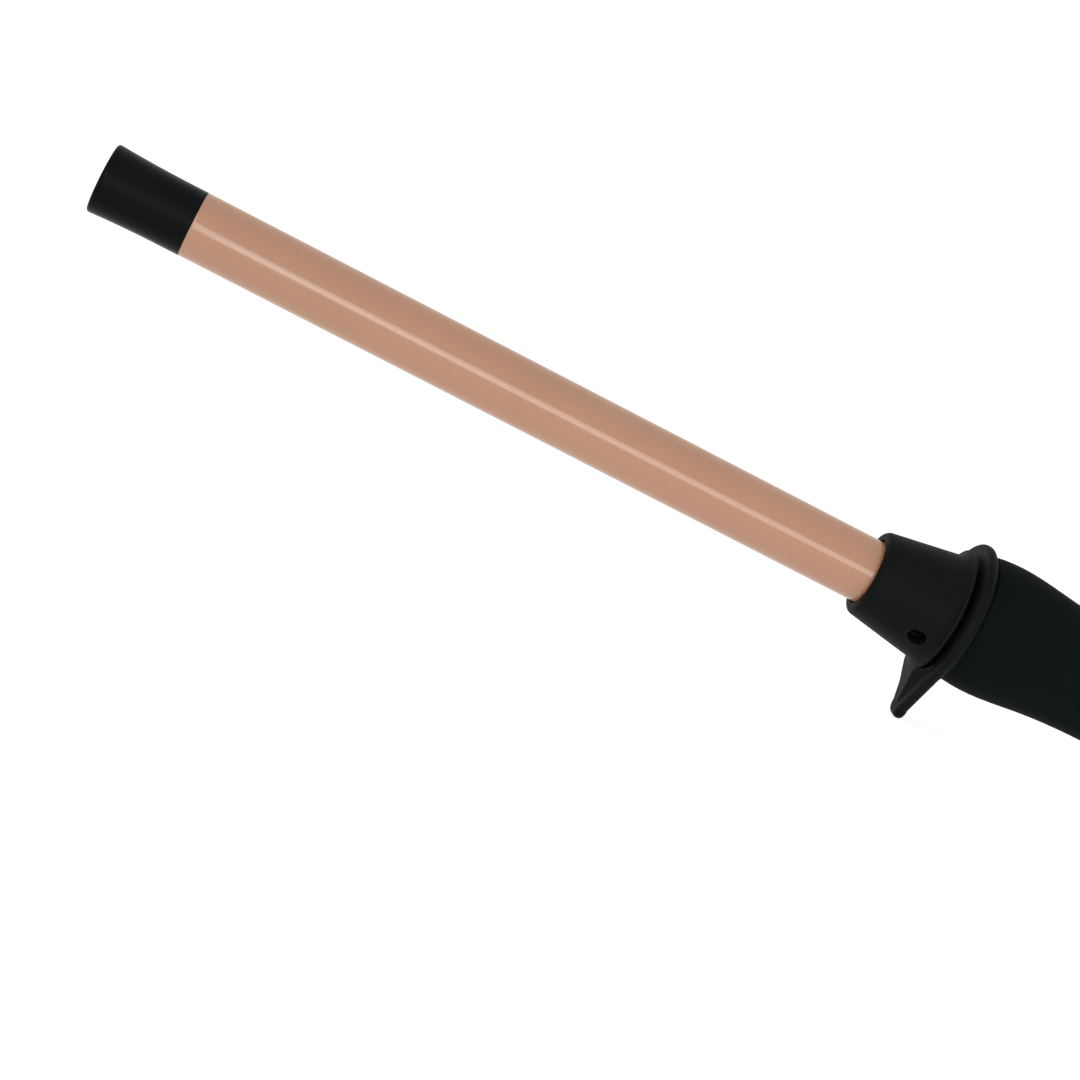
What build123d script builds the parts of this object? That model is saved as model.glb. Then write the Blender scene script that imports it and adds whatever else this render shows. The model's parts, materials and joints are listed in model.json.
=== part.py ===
from build123d import *
import math
import os

# A slim curling wand, in millimetres and degrees.
# Everything is drawn along the wand's own axis: X runs from the cool tip back to the cord outlet,
# X = 0 is where the cool tip meets the barrel, and the stand prong points to -Z. The last section
# lays the finished wand down on a table, on the prong's sole and the rear end of the handle.

# ---- fits and clearances
slip = 0.05            # between pieces that are slotted together
running = 0.06         # radial, round what turns or slides
seam = 0.15            # open line round the panel's window and keys

# ---- barrel and cool tip
barrel_dia = 12.7
barrel_wall = 0.5
barrel_length = 142.0  # bare heated length, from the cool tip to the collar
barrel_tail = 24.0     # what the collar and its hub hide
tip_length = 18.2
tip_flare = 0.5        # growth of the cool tip's radius towards its front end
tip_flare_length = 14.0
tip_edge = 0.6
tip_wall = 1.4
spigot_length = 9.0
washer_thick = 1.0

# ---- heater inside the barrel
heater_start = 32.0
heater_length = 92.0
plate_size = (22.0, 6.0, 2.1)
plate_count = 4
electrode_thick = 0.2
electrode_tail = 6.0   # how far the strips run out behind the shoes
film_thick = 0.12
spring_height = 0.9
spring_strip = 0.3
spring_waves = 7
sensor_bore_dia = 3.2
sensor_dia = 2.2
sensor_length = 5.0
sensor_lead_dia = 0.7
sensor_lead_pitch = 1.1
lower_bore_dia = 2.2
upper_bore_share = 0.46   # where each bore's centre lies across its shoe, from the flat
lower_bore_share = 0.51

# ---- collar, a cone that ends in a thin flared lip, with a hub behind it
collar_gap = 0.4       # open ring round the barrel at the collar's mouth
collar_front_dia = 17.0
collar_taper = 9.5
collar_edge = 1.2
cone_length = 14.2
collar_length = 16.6
lip_dia = 25.2
lip_thick = 0.4
mouth_depth = 1.8
hub_dia = 19.2
hub_reach = 12.3       # behind the stand ring
bush_wall = 1.5
collar_screw_back = 12.2   # from the collar's front face
collar_screw_drop = 32.0   # below the side of the wand
collar_screw_hole = 3.8
collar_screw_head = (3.5, 1.2)
collar_screw_shank = (2.0, 1.4)
collar_screw_slot = 0.6

# ---- stand ring, with the prong that the wand lies on
stand_gap = 1.2        # shadow groove between the collar's lip and the stand plate
stand_thick = 2.1
stand_dia = 30.0
stand_edge = 0.95
prong_reach = 22.5     # from the wand's axis to the sole
prong_foot = 6.6       # width across the foot
foot_corner = 2.2
pad_inset = 2.4        # from the plate's outline to the root pad on its front
pad_start = 5.0        # below the wand's axis, where the pad leaves the plate
pad_full = 10.0        # below the axis, where it reaches the lip's front
boss_dia = 27.8
boss_thick = 0.4

# ---- handle, turned round an axis a little above the barrel's
handle_gap = 0.45
handle_rise = 1.05
handle_length = 135.0
handle_wall = 2.5
front_dia = 25.1
shoulder = (6.8, 26.3)     # distance from the handle's front edge, diameter
neck = (18.8, 23.9)
waist = (36.0, 22.6)
palm = (35.0, 25.8)         # distance from the handle's rear end, diameter
end_dia = 23.4
front_edge = 0.6
end_edge = 3.0
grip_rib = 2.2             # rib of the shells in the hub's groove
grip_depth = 0.9
parting_groove = (0.2, 0.2)    # width in all, depth
front_screws = (27.0, 6.6)     # back from the handle's front edge, above and below its axis
rear_screws = (22.3, 6.8)      # forward from its rear end, above and below its axis
screw_shank_dia = 2.0
screw_head = (4.2, 1.6)
screw_cross = (2.4, 0.6, 0.9)    # length, width and depth of the driver's cross
screw_seat = 3.0           # from the parting plane to the seat of the head
screw_bite = 5.0           # length of thread in the near shell
boss_wall = 1.1

# ---- controls on top of the handle
panel_start = 38.0         # back from the handle's front edge
panel_length = 64.0
panel_width = 13.0
panel_thick = 1.6
panel_ledge = 1.2
lens_start = 7.0           # back from the panel's front end
lens_length = 18.0
lens_width = 8.0
lens_corner = 1.5
key_dia = 7.4
key_proud = 0.5
key_travel = 0.5
key_flange = 0.8
key_flange_thick = 0.9
key_edge = 0.4
key_spaces = (3.5, 1.0, 4.0, 3.5)  # lens to minus, to plus, to power, to the panel's end, flange to flange
mark_depth = 0.25
mark_width = 0.6
mark_length = 3.2
mark_bar_place = 0.7           # how far out in the power key's ring its bar is centred
board_thick = 1.6
board_width = 14.6
board_height = 4.0         # top face above the handle's axis
switch_size = (6.0, 6.0, 3.3)
plunger_dia = 3.0
plunger_depth = 0.8          # how deep a pressed plunger still stands in its switch
board_inset = 2.0            # the control board's ends inside the panel's
display_size = (15.0, 7.0, 4.4)
rail_thick = 0.9
rail_overlap = 0.7         # how far a rail reaches over the board's edge

# ---- power side, under the control board
power_board_drop = 3.6     # top face below the handle's axis
power_board_start = 43.0   # back from the handle's front edge
power_board_space = 1.5        # before the rear screw pillars
power_board_width = 13.6
capacitor_size = (11.0, 8.0, 4.2)
triac_size = (9.0, 10.0, 4.4)
fuse_dia = 3.6
fuse_length = 10.0
terminal_size = (8.0, 10.0, 4.6)
part_spacing = 3.0
lead_dia = 1.4
cutout_dia = 3.2
cutout_length = 9.5
cutout_back = 1.2          # behind the hub

# ---- swivelling cord outlet
end_wall = 2.4
end_opening_dia = 16.0
end_collar_dia = 18.6
end_flange = 1.2
neck_dia = 11.6
outlet_length = 13.0
outlet_front_dia = 14.8
outlet_end_dia = 9.6
outlet_edge = 0.8
outlet_hip = (0.35, 0.8)     # share of its length, and how much slimmer its crown is there
outlet_gap = 0.15
cord_bore_dia = 6.6
cord_bore_length = 20.0
clip_thick = 0.8
clip_dia = 14.4
clip_opening = 5.0
groove_depth = 0.75
stub_dia = 8.8
slip_ring_dia = 10.6
slip_ring_width = 1.6
slip_ring_space = 1.4
brush_gap = 0.1
brush_size = (3.0, 0.4)    # width and thickness of the strip
contact_thick = 1.6
contact_dia = 19.0
contact_space = 1.9        # between the contact plate and the swivel's stub
rib_thick = 1.5
rib_depth = 1.9

# ---- places worked out from the sizes above
barrel_r = barrel_dia / 2
bore_r = barrel_r - barrel_wall
collar_front = barrel_length
collar_back = collar_front + collar_length
stand_front = collar_back + stand_gap
stand_back = stand_front + stand_thick
boss_back = stand_back + boss_thick
handle_front = boss_back + handle_gap
handle_back = handle_front + handle_length
hub_back = boss_back + hub_reach
hub_r = hub_dia / 2
bush_r = barrel_r + slip + bush_wall
heater_end = heater_start + heater_length
pack_half = plate_size[2] / 2 + electrode_thick + film_thick + 2 * slip
grip_front = hub_back - 2 * grip_rib - 2 * slip
end_wall_front = handle_back - end_wall
panel_mid = handle_front + panel_start + panel_length / 2


def turned(corners, rounds=()):
    """A solid of revolution about X from (x, radius) corners; rounds pairs a corner with a radius."""
    section = make_face(Polyline(*corners, close=True))
    for corner, radius in rounds:
        spot = Vector(*corner)
        vertex = min(section.vertices(), key=lambda v: (Vector(v.X, v.Y) - spot).length)
        section = fillet(vertex, radius)
    return revolve(section, Axis.X, 360)


def rod(x_from, x_to, radius, y=0.0, z=0.0):
    """A round bar along X."""
    bar = Cylinder(radius, x_to - x_from, rotation=(0, 90, 0))
    return Pos((x_from + x_to) / 2, y, z) * bar


def block(x_from, x_to, y_from, y_to, z_from, z_to):
    """A rectangular block between two corners."""
    size = (x_to - x_from, y_to - y_from, z_to - z_from)
    middle = ((x_from + x_to) / 2, (y_from + y_to) / 2, (z_from + z_to) / 2)
    return Pos(*middle) * Box(*size)


def strut(x, z, y_from, y_to, radius):
    """A round bar along Y."""
    bar = Cylinder(radius, abs(y_to - y_from), rotation=(90, 0, 0))
    return Pos(x, (y_from + y_to) / 2, z) * bar


def wire(points, bend):
    """A round insulated wire through the points, each corner bent to the same radius."""
    path = FilletPolyline(*points, radius=bend)
    section = Plane(origin=path @ 0, z_dir=path % 0) * Circle(lead_dia / 2)
    return sweep(section, path=path)


# ---- barrel end

def make_cool_tip():
    flare_start = tip_length - tip_flare_length
    end_corner = Vector(-tip_length, barrel_r + tip_flare)
    skirt = Line((0, barrel_r), (-flare_start, barrel_r))
    flare = TangentArc(skirt @ 1, end_corner, tangent=skirt % 1)
    rest = Polyline(end_corner, (-tip_length, 0), (0, 0), (0, barrel_r))
    section = make_face([skirt, flare, *rest.edges()])
    corner = min(section.vertices(), key=lambda v: (Vector(v.X, v.Y) - end_corner).length)
    cap = revolve(fillet(corner, tip_edge), Axis.X, 360)
    spigot_r = bore_r - slip
    cap += rod(-slip, spigot_length, spigot_r)
    return cap - rod(-tip_length + 2 * tip_wall, spigot_length, spigot_r - tip_wall)


def make_tip_washer():
    start = spigot_length + slip
    return rod(start, start + washer_thick, bore_r - slip)


def make_barrel_tube():
    length = barrel_length + barrel_tail
    return rod(0, length, barrel_r) - rod(0, length, bore_r)


# ---- heater

shoe_r = bore_r - slip
upper_flat = pack_half
lower_flat = -pack_half - spring_height
upper_bore_z = upper_flat + (shoe_r - upper_flat) * upper_bore_share
lower_bore_z = lower_flat + (-shoe_r - lower_flat) * lower_bore_share


def make_heater_shoe(upper):
    bar = rod(heater_start, heater_end, shoe_r)
    if upper:
        bar &= block(heater_start, heater_end, -shoe_r, shoe_r, upper_flat, shoe_r)
        return bar - rod(heater_start, heater_end, sensor_bore_dia / 2, z=upper_bore_z)
    bar &= block(heater_start, heater_end, -shoe_r, shoe_r, -shoe_r, lower_flat)
    return bar - rod(heater_start, heater_end, lower_bore_dia / 2, z=lower_bore_z)


def make_ptc_plates():
    length, width, thick = plate_size
    pitch = (heater_length - length) / (plate_count - 1)
    first = heater_start + length / 2
    return [Pos(first + n * pitch, 0, 0) * Box(length, width, thick) for n in range(plate_count)]


def make_electrodes():
    near = plate_size[2] / 2
    far = near + electrode_thick
    half = plate_size[1] / 2
    end = heater_end + electrode_tail
    upper = block(heater_start, end, -half, half, near, far)
    lower = block(heater_start, end, -half, half, -far, -near)
    return [upper, lower]


def make_insulating_wrap():
    inner_y = plate_size[1] / 2 + slip
    inner_z = plate_size[2] / 2 + electrode_thick + slip
    outer_y = inner_y + film_thick
    outer_z = inner_z + film_thick
    sleeve = block(heater_start, heater_end, -outer_y, outer_y, -outer_z, outer_z)
    return sleeve - block(heater_start, heater_end, -inner_y, inner_y, -inner_z, inner_z)


def make_shoe_spring():
    top = -pack_half
    low = lower_flat + spring_strip + slip
    step = (heater_length - 2 * spring_height) / (2 * spring_waves)
    first = heater_start + spring_height
    crest = [top if n % 2 else low for n in range(2 * spring_waves + 1)]
    ridge = [(first + n * step, 0, z - slip) for n, z in enumerate(crest)]
    under = [(x, y, z - spring_strip) for x, y, z in reversed(ridge)]
    strip = make_face(Polyline(*ridge, *under, close=True))
    half = plate_size[1] / 2
    return Pos(0, half, 0) * extrude(strip, amount=2 * half, dir=(0, -1, 0))


sensor_front = heater_start + heater_length / 2
sensor_back = sensor_front + sensor_length


def make_thermistor():
    return rod(sensor_front, sensor_back, sensor_dia / 2, z=upper_bore_z)


# ---- collar and stand ring

def make_barrel_bush():
    front = collar_front + mouth_depth + slip
    bush = rod(front, hub_back, bush_r) - rod(front, hub_back, barrel_r + slip)
    hole = Cylinder(collar_screw_shank[0] / 2 + slip, bush_wall * 3)
    for side in (-1, 1):
        bush -= at_collar_screw(side) * Pos(0, 0, bush_r) * hole
    return bush


def at_collar_screw(side):
    """The frame of a collar screw: its Z points out of the hole. side is -1 near, 1 far."""
    fall = math.radians(collar_screw_drop)
    outward = (0, side * math.cos(fall), -math.sin(fall))
    return Plane(origin=(collar_front + collar_screw_back, 0, 0), x_dir=(1, 0, 0), z_dir=outward)


def make_collar():
    cone_r = collar_front_dia / 2 + cone_length * math.tan(math.radians(collar_taper))
    cone_back = collar_front + cone_length
    lip_front = collar_back - lip_thick
    mouth_r = barrel_r + collar_gap
    cavity_r = bush_r + slip
    groove_front = grip_front - slip
    groove_back = grip_front + grip_rib + slip
    groove_r = hub_r - grip_depth - slip
    cone = Polyline((collar_front, mouth_r), (collar_front, collar_front_dia / 2), (cone_back, cone_r))
    lip_root = (lip_front, lip_dia / 2)
    flare = TangentArc(cone @ 1, lip_root, tangent=cone % 1)
    back = Polyline(
        lip_root, (collar_back, lip_dia / 2), (collar_back, hub_r), (groove_front, hub_r),
        (groove_front, groove_r), (groove_back, groove_r), (groove_back, hub_r), (hub_back, hub_r),
        (hub_back, cavity_r), (collar_front + mouth_depth, cavity_r),
        (collar_front + mouth_depth, mouth_r), (collar_front, mouth_r),
    )
    section = make_face([*cone.edges(), flare, *back.edges()])
    rim = Vector(collar_front, collar_front_dia / 2)
    corner = min(section.vertices(), key=lambda v: (Vector(v.X, v.Y) - rim).length)
    body = revolve(fillet(corner, collar_edge), Axis.X, 360)
    hole = Cylinder(collar_screw_hole / 2, cone_r)
    for side in (-1, 1):
        body -= at_collar_screw(side) * Pos(0, 0, cone_r) * hole
    return body


def make_collar_screws():
    head_dia, head_height = collar_screw_head
    shank_dia, shank_length = collar_screw_shank
    screws = []
    for side in (-1, 1):
        frame = at_collar_screw(side)
        seat = bush_r + slip
        up = (Align.CENTER, Align.CENTER, Align.MIN)
        head = Pos(0, 0, seat) * Cylinder(head_dia / 2, head_height, align=up)
        shank = Pos(0, 0, seat - shank_length) * Cylinder(shank_dia / 2, shank_length, align=up)
        slot = Pos(0, 0, seat + head_height) * Box(head_dia, collar_screw_slot, head_height)
        screws.append(frame * (head + shank - slot))
    return screws


def prong_lean():
    """Angle round the disc, from straight down, where the prong's straight side leaves it."""
    # the side touches the disc and passes through the foot's corner
    half = prong_foot / 2
    tip_y = prong_reach - foot_corner
    return math.atan2(half, tip_y) + math.acos(stand_dia / 2 / math.hypot(half, tip_y))


def prong_outline():
    """The stand plate seen along the wand: a disc whose two sides run straight down to the foot."""
    disc_r = stand_dia / 2
    half = prong_foot / 2
    tip_y = prong_reach - foot_corner
    touch_y = disc_r * math.sin(prong_lean())
    touch_z = -disc_r * math.cos(prong_lean())
    sides = Polyline((touch_y, touch_z), (half, -tip_y), (half, -prong_reach), (-half, -prong_reach),
                     (-half, -tip_y), (-touch_y, touch_z), close=True)
    prong = make_face(sides)
    low = [v for v in prong.vertices() if v.Y < -prong_reach + 0.01]
    prong = fillet(low, foot_corner * 0.99)
    return Circle(disc_r) + prong


def root_pad():
    """Swelling on the plate's front that closes the groove and carries the lip's line down the prong."""
    lip_front = collar_back - lip_thick
    height = stand_front - lip_front
    pad_r = stand_dia / 2 - pad_inset
    side = Vector(0, pad_r * math.sin(prong_lean()), -pad_r * math.cos(prong_lean()))
    point = (0, 0, -pad_r / math.cos(prong_lean()))
    plan = Polyline((0, side.Y, side.Z), point, (0, -side.Y, side.Z), close=True)
    pad = extrude(Pos(stand_front, 0, 0) * make_face(plan), amount=height, dir=(-1, 0, 0), taper=45)
    pad += Pos(stand_front - height / 2, 0, 0) * Cone(pad_r, pad_r - height, height, rotation=(0, -90, 0))
    foot = -(prong_reach - foot_corner)
    slope = Polyline(
        (stand_front, 0, foot), (lip_front, 0, -lip_dia / 2), (lip_front, 0, -pad_full),
        (stand_front, 0, -pad_start), close=True,
    )
    pad &= extrude(make_face(slope), amount=stand_dia, both=True)
    return pad - rod(lip_front, stand_front, lip_dia / 2 + slip)


def make_stand_ring():
    plate = Plane((stand_front, 0, 0), x_dir=(0, 1, 0), z_dir=(1, 0, 0)) * prong_outline()
    plate = extrude(plate, amount=stand_thick)
    rims = plate.edges().filter_by_position(Axis.X, stand_front - 0.01, stand_front + 0.01)
    rims += plate.edges().filter_by_position(Axis.X, stand_back - 0.01, stand_back + 0.01)
    plate = fillet(rims, stand_edge)
    ring = plate + root_pad() + rod(stand_back - stand_edge, boss_back, boss_dia / 2)
    return ring - rod(stand_front, boss_back, hub_r + slip)


# ---- handle shells

def handle_side(inset):
    """The handle's side line, moved in towards its axis by inset."""
    stations = [(0, front_dia), shoulder, neck, waist, (handle_length - palm[0], palm[1]),
                (handle_length, end_dia)]
    return Spline(*[(handle_front + x, dia / 2 - inset) for x, dia in stations])


def handle_form(inset, edges=False):
    """The handle's solid form about its own axis, smaller all round by inset."""
    side = handle_side(inset)
    ends = Polyline(side @ 1, (handle_back, 0), (handle_front, 0), side @ 0)
    section = make_face([side, *ends.edges()])
    if edges:
        for point, radius in ((side @ 0, front_edge), (side @ 1, end_edge)):
            corner = min(section.vertices(), key=lambda v: (Vector(v.X, v.Y) - point).length)
            section = fillet(corner, radius)
    return Pos(0, 0, handle_rise) * revolve(section, Axis.X, 360)


def handle_radius(x):
    """Radius of the handle's outside at x, found by halving along its side line."""
    side = handle_side(0)
    low, high = 0.0, 1.0
    for _ in range(30):
        middle = (low + high) / 2
        if (side @ middle).X < x:
            low = middle
        else:
            high = middle
    return (side @ low).Y


def panel_prism(shrink):
    """An upright prism with the control panel's long round-ended outline, smaller all round by shrink."""
    outline = SlotOverall(panel_length - 2 * shrink, panel_width - 2 * shrink)
    return Pos(panel_mid, 0, handle_rise) * extrude(outline, amount=2 * palm[1])


def between(x_from, x_to):
    """A block that takes in the whole handle between two places."""
    return block(x_from, x_to, -end_collar_dia, end_collar_dia, -2 * end_collar_dia, 2 * end_collar_dia)


def screw_points():
    """Where the handle screws cross the parting plane."""
    rows = ((handle_front + front_screws[0], front_screws[1]), (rear_screw_x, rear_screws[1]))
    return [(x, handle_rise + sign * height) for x, height in rows for sign in (-1, 1)]


contact_front = handle_back - end_wall - end_flange - clip_thick - 2 * slip - groove_depth
stub_end = contact_front - 2 * slip_ring_width - 3 * slip_ring_space
contact_back = stub_end - contact_space
board_bottom = handle_rise + board_height - board_thick
board_top = handle_rise + board_height
power_top = handle_rise - power_board_drop
power_bottom = power_top - board_thick
board_front = handle_front + panel_start + board_inset
board_back = handle_front + panel_start + panel_length - board_inset
rear_screw_x = handle_back - rear_screws[0]
far_pillar_r = screw_head[0] / 2 + boss_wall
near_pillar_r = screw_shank_dia / 2 + boss_wall
power_front = handle_front + power_board_start
power_back = rear_screw_x - far_pillar_r - power_board_space


def make_rails(side, inner):
    """Ledges along one shell that hold the two boards by their edges."""
    rails = []
    spans = ((board_front, board_back, board_width, board_bottom, board_top),
             (power_front, power_back, power_board_width, power_bottom, power_top))
    for front, back, width, low, high in spans:
        near = side * (width / 2 - rail_overlap)
        wall = side * palm[1]
        for z in (low - slip - rail_thick, high + slip):
            ledge = block(front, back, min(near, wall), max(near, wall), z, z + rail_thick)
            rails.append(ledge & inner)
    return rails


def make_shell(side):
    """One half of the handle. side is -1 for the near half, 1 for the far one."""
    groove_half, groove_depth_in = parting_groove[0] / 2, parting_groove[1]
    reach = 2 * palm[1]
    away = sorted((side * groove_half, side * reach))
    close = sorted((0, side * groove_half))
    full = handle_form(0, edges=True)
    half = full & block(handle_front, handle_back, *away, -reach, reach)
    core = handle_form(groove_depth_in) & full
    half += core & block(handle_front, handle_back, *close, -reach, reach)
    hollow_front = grip_front + grip_rib
    hollow = handle_form(handle_wall)
    half -= hollow & between(hollow_front, end_wall_front)
    half -= rod(handle_front, grip_front, hub_r + slip)
    half -= rod(grip_front, hollow_front, hub_r - grip_depth)
    half -= rod(hollow_front, hub_back + slip, hub_r + slip)
    half -= rod(end_wall_front, handle_back, end_opening_dia / 2 + slip, z=handle_rise)
    inner = handle_form(handle_wall / 2)
    for ledge in make_rails(side, inner):
        half += ledge
    for x in (contact_back - contact_thick - slip - rib_thick, contact_back + slip):
        hoop = inner & between(x, x + rib_thick)
        hoop -= rod(x, x + rib_thick, contact_dia / 2 - rib_depth / 2, z=handle_rise)
        half += hoop & block(x, x + rib_thick, *sorted((0, side * reach)), -reach, reach)
    pillar_r = far_pillar_r if side > 0 else near_pillar_r
    for x, z in screw_points():
        pillar = strut(x, z, 0, side * reach, pillar_r) & inner
        half += pillar
        hole_r = screw_shank_dia / 2 + slip
        depth = reach if side > 0 else screw_bite + slip
        half -= strut(x, z, 0, side * depth, hole_r)
        if side > 0:
            half -= strut(x, z, screw_seat, reach, screw_head[0] / 2 + 2 * slip)
    half -= panel_prism(0) - handle_form(panel_thick)
    half -= panel_prism(panel_ledge)
    return half


def make_handle_screws():
    half, slim, deep = screw_cross[0] / 2, screw_cross[1] / 2, screw_cross[2]
    screws = []
    for x, z in screw_points():
        shank = strut(x, z, -screw_bite, screw_seat, screw_shank_dia / 2)
        head = strut(x, z, screw_seat, screw_seat + screw_head[1], screw_head[0] / 2)
        top = screw_seat + screw_head[1]
        cross = block(x - half, x + half, top - deep, top, z - slim, z + slim)
        cross += block(x - slim, x + slim, top - deep, top, z - half, z + half)
        screws.append(head + shank - cross)
    return screws


# ---- controls

def place_keys():
    """The keys stand behind the lens, with the room that is left shared out as key_spaces says."""
    names = ("minus", "plus", "power")
    flange_dia = key_dia + 2 * key_flange
    spare = panel_length - lens_start - lens_length - len(names) * flange_dia
    x = handle_front + panel_start + lens_start + lens_length
    places = {}
    for name, space in zip(names, key_spaces):
        x += spare * space / sum(key_spaces)
        places[name] = x + flange_dia / 2
        x += flange_dia
    return places


key_places = place_keys()


def lens_prism(grow):
    outline = RectangleRounded(lens_length + 2 * grow, lens_width + 2 * grow, lens_corner + grow)
    middle = handle_front + panel_start + lens_start + lens_length / 2
    return Pos(middle, 0, handle_rise) * extrude(outline, amount=2 * palm[1])


def panel_skin():
    return handle_form(0) - handle_form(panel_thick - slip)


def make_control_panel():
    plan = panel_prism(seam) - lens_prism(slip)
    for x in key_places.values():
        plan -= Pos(x, 0, handle_rise) * Cylinder(key_dia / 2 + seam, 4 * palm[1])
    return panel_skin() & plan


def make_display_lens():
    return panel_skin() & lens_prism(0)


def key_heights(x):
    """Top of a key, top of its flange and the flange's foot, above the handle's axis."""
    flange_r = key_dia / 2 + key_flange
    thin = min(handle_radius(x - flange_r), handle_radius(x + flange_r)) - panel_thick
    flange_top = math.sqrt(thin**2 - flange_r**2) - slip
    return handle_radius(x) + key_proud, flange_top, flange_top - key_flange_thick


def make_key(name):
    x = key_places[name]
    top, flange_top, foot = key_heights(x)
    up = (Align.CENTER, Align.CENTER, Align.MIN)
    cap = Cylinder(key_dia / 2, top - foot, align=up)
    cap = fillet(cap.edges().sort_by(Axis.Z)[-1], key_edge)
    cap += Cylinder(key_dia / 2 + key_flange, key_flange_thick, align=up)
    face = top - foot - mark_depth
    dash = Pos(0, 0, face + mark_depth) * Box(mark_length, mark_width, 2 * mark_depth)
    if name == "minus":
        cap -= Rot(0, 0, 90) * dash
    elif name == "plus":
        cap -= dash
        cap -= Rot(0, 0, 90) * dash
    else:
        ring_r = mark_length / 2
        ring = Circle(ring_r) - Circle(ring_r - mark_width)
        ring -= Pos(-ring_r, 0) * Rectangle(2 * ring_r, 3 * mark_width)
        cap -= Pos(0, 0, face) * extrude(ring, amount=2 * mark_depth)
        cap -= Pos(-ring_r * mark_bar_place, 0, face + mark_depth) * Box(ring_r, mark_width, 2 * mark_depth)
    return Pos(x, 0, handle_rise + foot) * cap


def make_plunger(name):
    x = key_places[name]
    foot = handle_rise + key_heights(x)[2]
    low = board_top + switch_size[2] - key_travel - 2 * slip - plunger_depth
    return Pos(x, 0, (low + foot) / 2) * Cylinder(plunger_dia / 2, foot - low)


def make_switch_cases():
    length, width, height = switch_size
    cases = []
    for x in key_places.values():
        case = block(x - length / 2, x + length / 2, -width / 2, width / 2, board_top, board_top + height)
        well = 2 * key_travel + 4 * slip + plunger_depth
        case -= Pos(x, 0, board_top + height) * Cylinder(plunger_dia / 2 + running, 2 * well)
        cases.append(case)
    return cases


def make_display_module():
    length, width, height = display_size
    front = handle_front + panel_start + lens_start + (lens_length - length) / 2
    return block(front, front + length, -width / 2, width / 2, board_top, board_top + height)


def make_control_board():
    half = board_width / 2
    return block(board_front, board_back, -half, half, board_bottom, board_top)


# ---- power side

def make_power_board():
    half = power_board_width / 2
    return block(power_front, power_back, -half, half, power_bottom, power_top)


capacitor_front = power_front + 2 * part_spacing
triac_front = capacitor_front + capacitor_size[0] + part_spacing
fuse_front = triac_front + triac_size[0] + part_spacing
terminal_front = power_back - terminal_size[0]


def standing(front, size):
    """A box-shaped component on the power board."""
    length, width, height = size
    return block(front, front + length, -width / 2, width / 2, power_top, power_top + height)


def make_mains_fuse():
    return rod(fuse_front, fuse_front + fuse_length, fuse_dia / 2, z=power_top + fuse_dia / 2)


def make_thermal_fuse():
    front = hub_back + cutout_back
    return rod(front, front + cutout_length, cutout_dia / 2, z=-electrode_mid())


def electrode_mid():
    return plate_size[2] / 2 + electrode_thick / 2


def make_heater_leads():
    z = electrode_mid()
    start = heater_end + electrode_tail
    turn = handle_front + waist[0]
    board_z = power_top + lead_dia / 2
    spread = power_board_width / 5
    fuse_at = hub_back + cutout_back
    upper = wire([(start, 0, z), (turn, 0, z), (power_front, spread, board_z),
                  (capacitor_front, spread, board_z)], 2 * lead_dia)
    lower = rod(start, fuse_at, lead_dia / 2, z=-z)
    after = wire([(fuse_at + cutout_length, 0, -z), (turn, 0, -z), (power_front, -spread, board_z),
                  (capacitor_front, -spread, board_z)], 2 * lead_dia)
    return [upper, lower, after]


def make_sensor_leads():
    half = sensor_lead_pitch / 2
    radius = sensor_lead_dia / 2
    return [rod(sensor_back, board_front, radius, y=y, z=upper_bore_z) for y in (-half, half)]


def make_mains_leads():
    z = power_top + terminal_size[2] / 2
    y = terminal_size[1] / 4
    front = power_back
    return [rod(front, contact_back - contact_thick, lead_dia / 2, y=side * y, z=z) for side in (-1, 1)]


# ---- cord outlet

def on_handle_axis(solid):
    return Pos(0, 0, handle_rise) * solid


def make_end_collar():
    front = end_wall_front - slip - end_flange
    back = handle_back + slip + end_flange
    flange_r = end_collar_dia / 2
    waist_r = end_opening_dia / 2
    hole_r = neck_dia / 2 + running
    ring = turned(
        [(front, hole_r), (front, flange_r), (end_wall_front - slip, flange_r),
         (end_wall_front - slip, waist_r), (handle_back + slip, waist_r),
         (handle_back + slip, flange_r), (back, flange_r), (back, hole_r)],
        [((back, flange_r), end_flange / 2)],
    )
    return on_handle_axis(ring)


clip_back = end_wall_front - slip - end_flange - 2 * slip
clip_front = clip_back - clip_thick
outlet_front = handle_back + slip + end_flange + outlet_gap
outlet_back = outlet_front + outlet_length


def make_swivel():
    neck_r = neck_dia / 2
    groove_r = neck_r - groove_depth
    stub_r = stub_dia / 2
    neck_front = clip_front - groove_depth
    hip = (outlet_front + outlet_length * outlet_hip[0], (outlet_front_dia - outlet_hip[1]) / 2)
    crown = Spline(
        (outlet_front, outlet_front_dia / 2), hip, (outlet_back, outlet_end_dia / 2),
        tangents=[(1, 0), (1, -0.1)],
    )
    bottom = Polyline(
        crown @ 1, (outlet_back, 0), (stub_end, 0), (stub_end, stub_r), (neck_front, stub_r),
        (neck_front, neck_r), (clip_front - slip, neck_r), (clip_front - slip, groove_r),
        (clip_back + slip, groove_r), (clip_back + slip, neck_r), (outlet_front, neck_r), crown @ 0,
    )
    section = make_face([crown, *bottom.edges()])
    for point in (crown @ 0, crown @ 1):
        corner = min(section.vertices(), key=lambda v: (Vector(v.X, v.Y) - point).length)
        section = fillet(corner, outlet_edge)
    body = revolve(section, Axis.X, 360)
    body -= rod(outlet_back - cord_bore_length, outlet_back, cord_bore_dia / 2)
    return on_handle_axis(body - rod(stub_end, outlet_back, stub_r / 3))


def make_swivel_clip():
    ring = rod(clip_front, clip_back, clip_dia / 2)
    ring -= rod(clip_front, clip_back, neck_dia / 2 - groove_depth + slip)
    ring -= block(clip_front, clip_back, -clip_opening / 2, clip_opening / 2, -clip_dia, 0)
    return on_handle_axis(ring)


def slip_ring_starts():
    first = stub_end + slip_ring_space
    return [first, first + slip_ring_width + slip_ring_space]


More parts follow.
